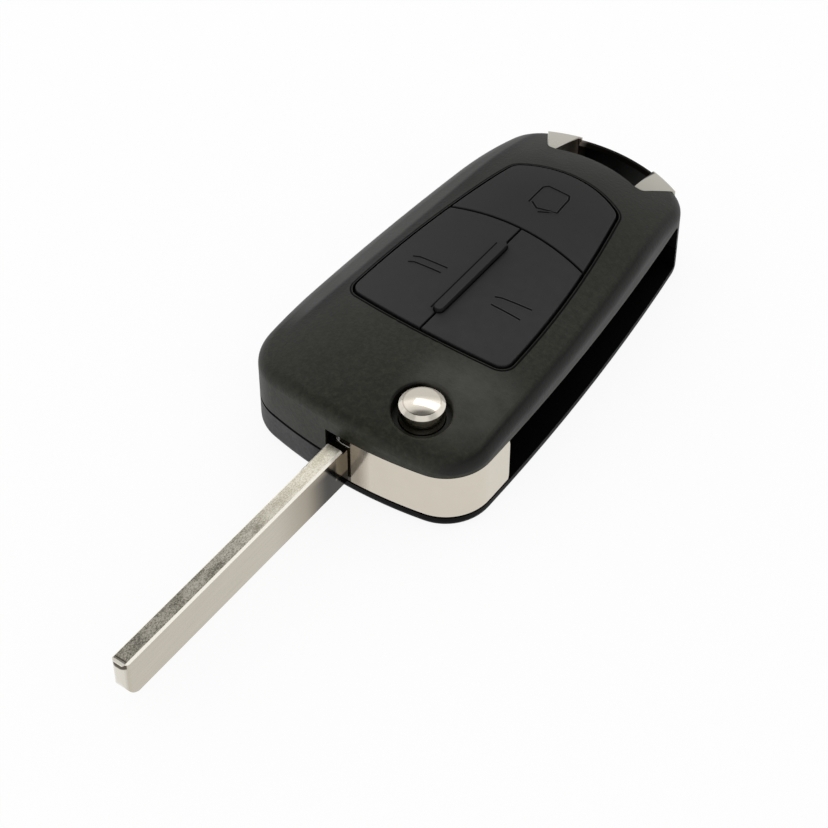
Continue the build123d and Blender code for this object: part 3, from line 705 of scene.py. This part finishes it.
def mark_keys():
    """Engraved marks on the keys, a painted shadow line beside the raised bar, and the fine line round the
    key window; their dark floors are painted shade and the lips on the keys a painted highlight.
    """
    floor_colour = groove_shade()
    # Painted highlight on the lips of the marks.
    lip = silicone("silicone rubber, rubbed edge", (0.060, 0.058, 0.059)).material
    for side, strokes in zip(KEYS, (LOCK_STROKES, UNLOCK_STROKES, BOOT_STROKES)):
        lines = [(stroke_rows(stroke), STROKE_PROFILE) for stroke in strokes]
        if side == "left":
            lines.append((stroke_rows(BAR_SHADOW_LINE), BAR_SHADOW_PROFILE))
        mark = engrave(f"{side}_key_mark", f"{side}_key", lines, floor_colour, lip)
        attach(mark, f"{side}_press")
    casing = nodes["upper_shell"].material_slots[0].material
    rim = engrave("window_rim", "upper_shell", [(rim_rows(), RIM_PROFILE)], floor_colour, casing)
    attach(rim, "casing")


def camera():
    """Looks down on the key from its front right."""
    data = bpy.data.cameras.new("camera")
    data.lens = LENS
    data.sensor_width = 36.0
    data.clip_start = 0.01
    eye = bpy.data.objects.new("camera", data)
    eye.location = mm(*EYE)
    eye.rotation_euler = [radians(angle) for angle in EYE_TURN]
    bpy.context.scene.collection.objects.link(eye)
    bpy.context.scene.camera = eye


def floor():
    """Pale floor, near white to the eye, that keeps a soft shadow."""
    shape = bmesh.new()
    bmesh.ops.create_grid(shape, x_segments=1, y_segments=1, size=FLOOR_SIZE * MM / 2)
    pale = Finish("pale floor", (0.97, 0.97, 0.97), 0.9)
    glow = pale.add("ShaderNodeEmission")
    pale.feed(WHITE, glow.inputs["Color"])
    blend = pale.add("ShaderNodeMixShader")
    share = pale.number("MULTIPLY", pale.seen_directly(), FLOOR_GLOW)
    for value, socket in zip((share, pale.shader.outputs[0], glow.outputs[0]), blend.inputs):
        pale.feed(value, socket)
    pale.feed(blend.outputs[0], pale.tree.nodes["Material Output"].inputs["Surface"])
    finished(shape, "floor", pale.material)


def softbox(name, place, target, size, energy):
    """Rectangular lamp at a place, turned to a target."""
    data = bpy.data.lights.new(name, "AREA")
    data.shape = "RECTANGLE"
    data.size, data.size_y = mm(*size)
    data.energy = energy
    lamp = bpy.data.objects.new(name, data)
    lamp.location = mm(*place)
    lamp.rotation_euler = (Vector(mm(*target)) - lamp.location).to_track_quat("-Z", "Y").to_euler()
    bpy.context.scene.collection.objects.link(lamp)


def reflected_room(room):
    """What polished pieces see: a white backdrop all round, a bright ceiling, dark on the camera's side."""
    ray = room.add("ShaderNodeTexCoord").outputs["Generated"]
    toward_eye = room.vector("DOT_PRODUCT", ray, Vector(EYE).normalized())
    ceiling = room.add("ShaderNodeValToRGB")
    room.feed(toward_eye.outputs["Value"], ceiling.inputs["Fac"])
    ceiling.color_ramp.interpolation = "EASE"
    stops = ceiling.color_ramp.elements
    for spot, level in CEILING_LEVELS:
        stop = stops[0] if spot == 0 else stops[-1] if spot == 1 else stops.new(spot)
        stop.color = (level, level, level, 1.0)
    height = room.vector("DOT_PRODUCT", ray, BACKDROP_TILT)
    backdrop = room.range(height.outputs["Value"], *BACKDROP_TOP, 1.0, 0.0, smooth=True)
    return room.mix(backdrop, ceiling.outputs[0], WHITE)


def studio():
    """Soft side light in a pale room."""
    softbox("overhead softbox", (-60, 300, 430), (-8, 10, 10), (420, 90), 0.09)
    softbox("left softbox", (-400, 200, 120), (-8, 20, 8), (300, 160), 0.16)
    world = bpy.data.worlds.new("room")
    bpy.context.scene.world = world
    world.use_nodes = True
    room = Shading(world.node_tree)
    path = room.add("ShaderNodeLightPath")
    light = room.mix(path.outputs["Is Glossy Ray"], FILL, reflected_room(room))
    light = room.mix(path.outputs["Is Camera Ray"], light, WHITE)
    room.feed(light, world.node_tree.nodes["Background"].inputs["Color"])


dress_all()
smooth_button()
mark_keys()
camera()
floor()
studio()
bpy.context.scene.view_settings.view_transform = "Standard"
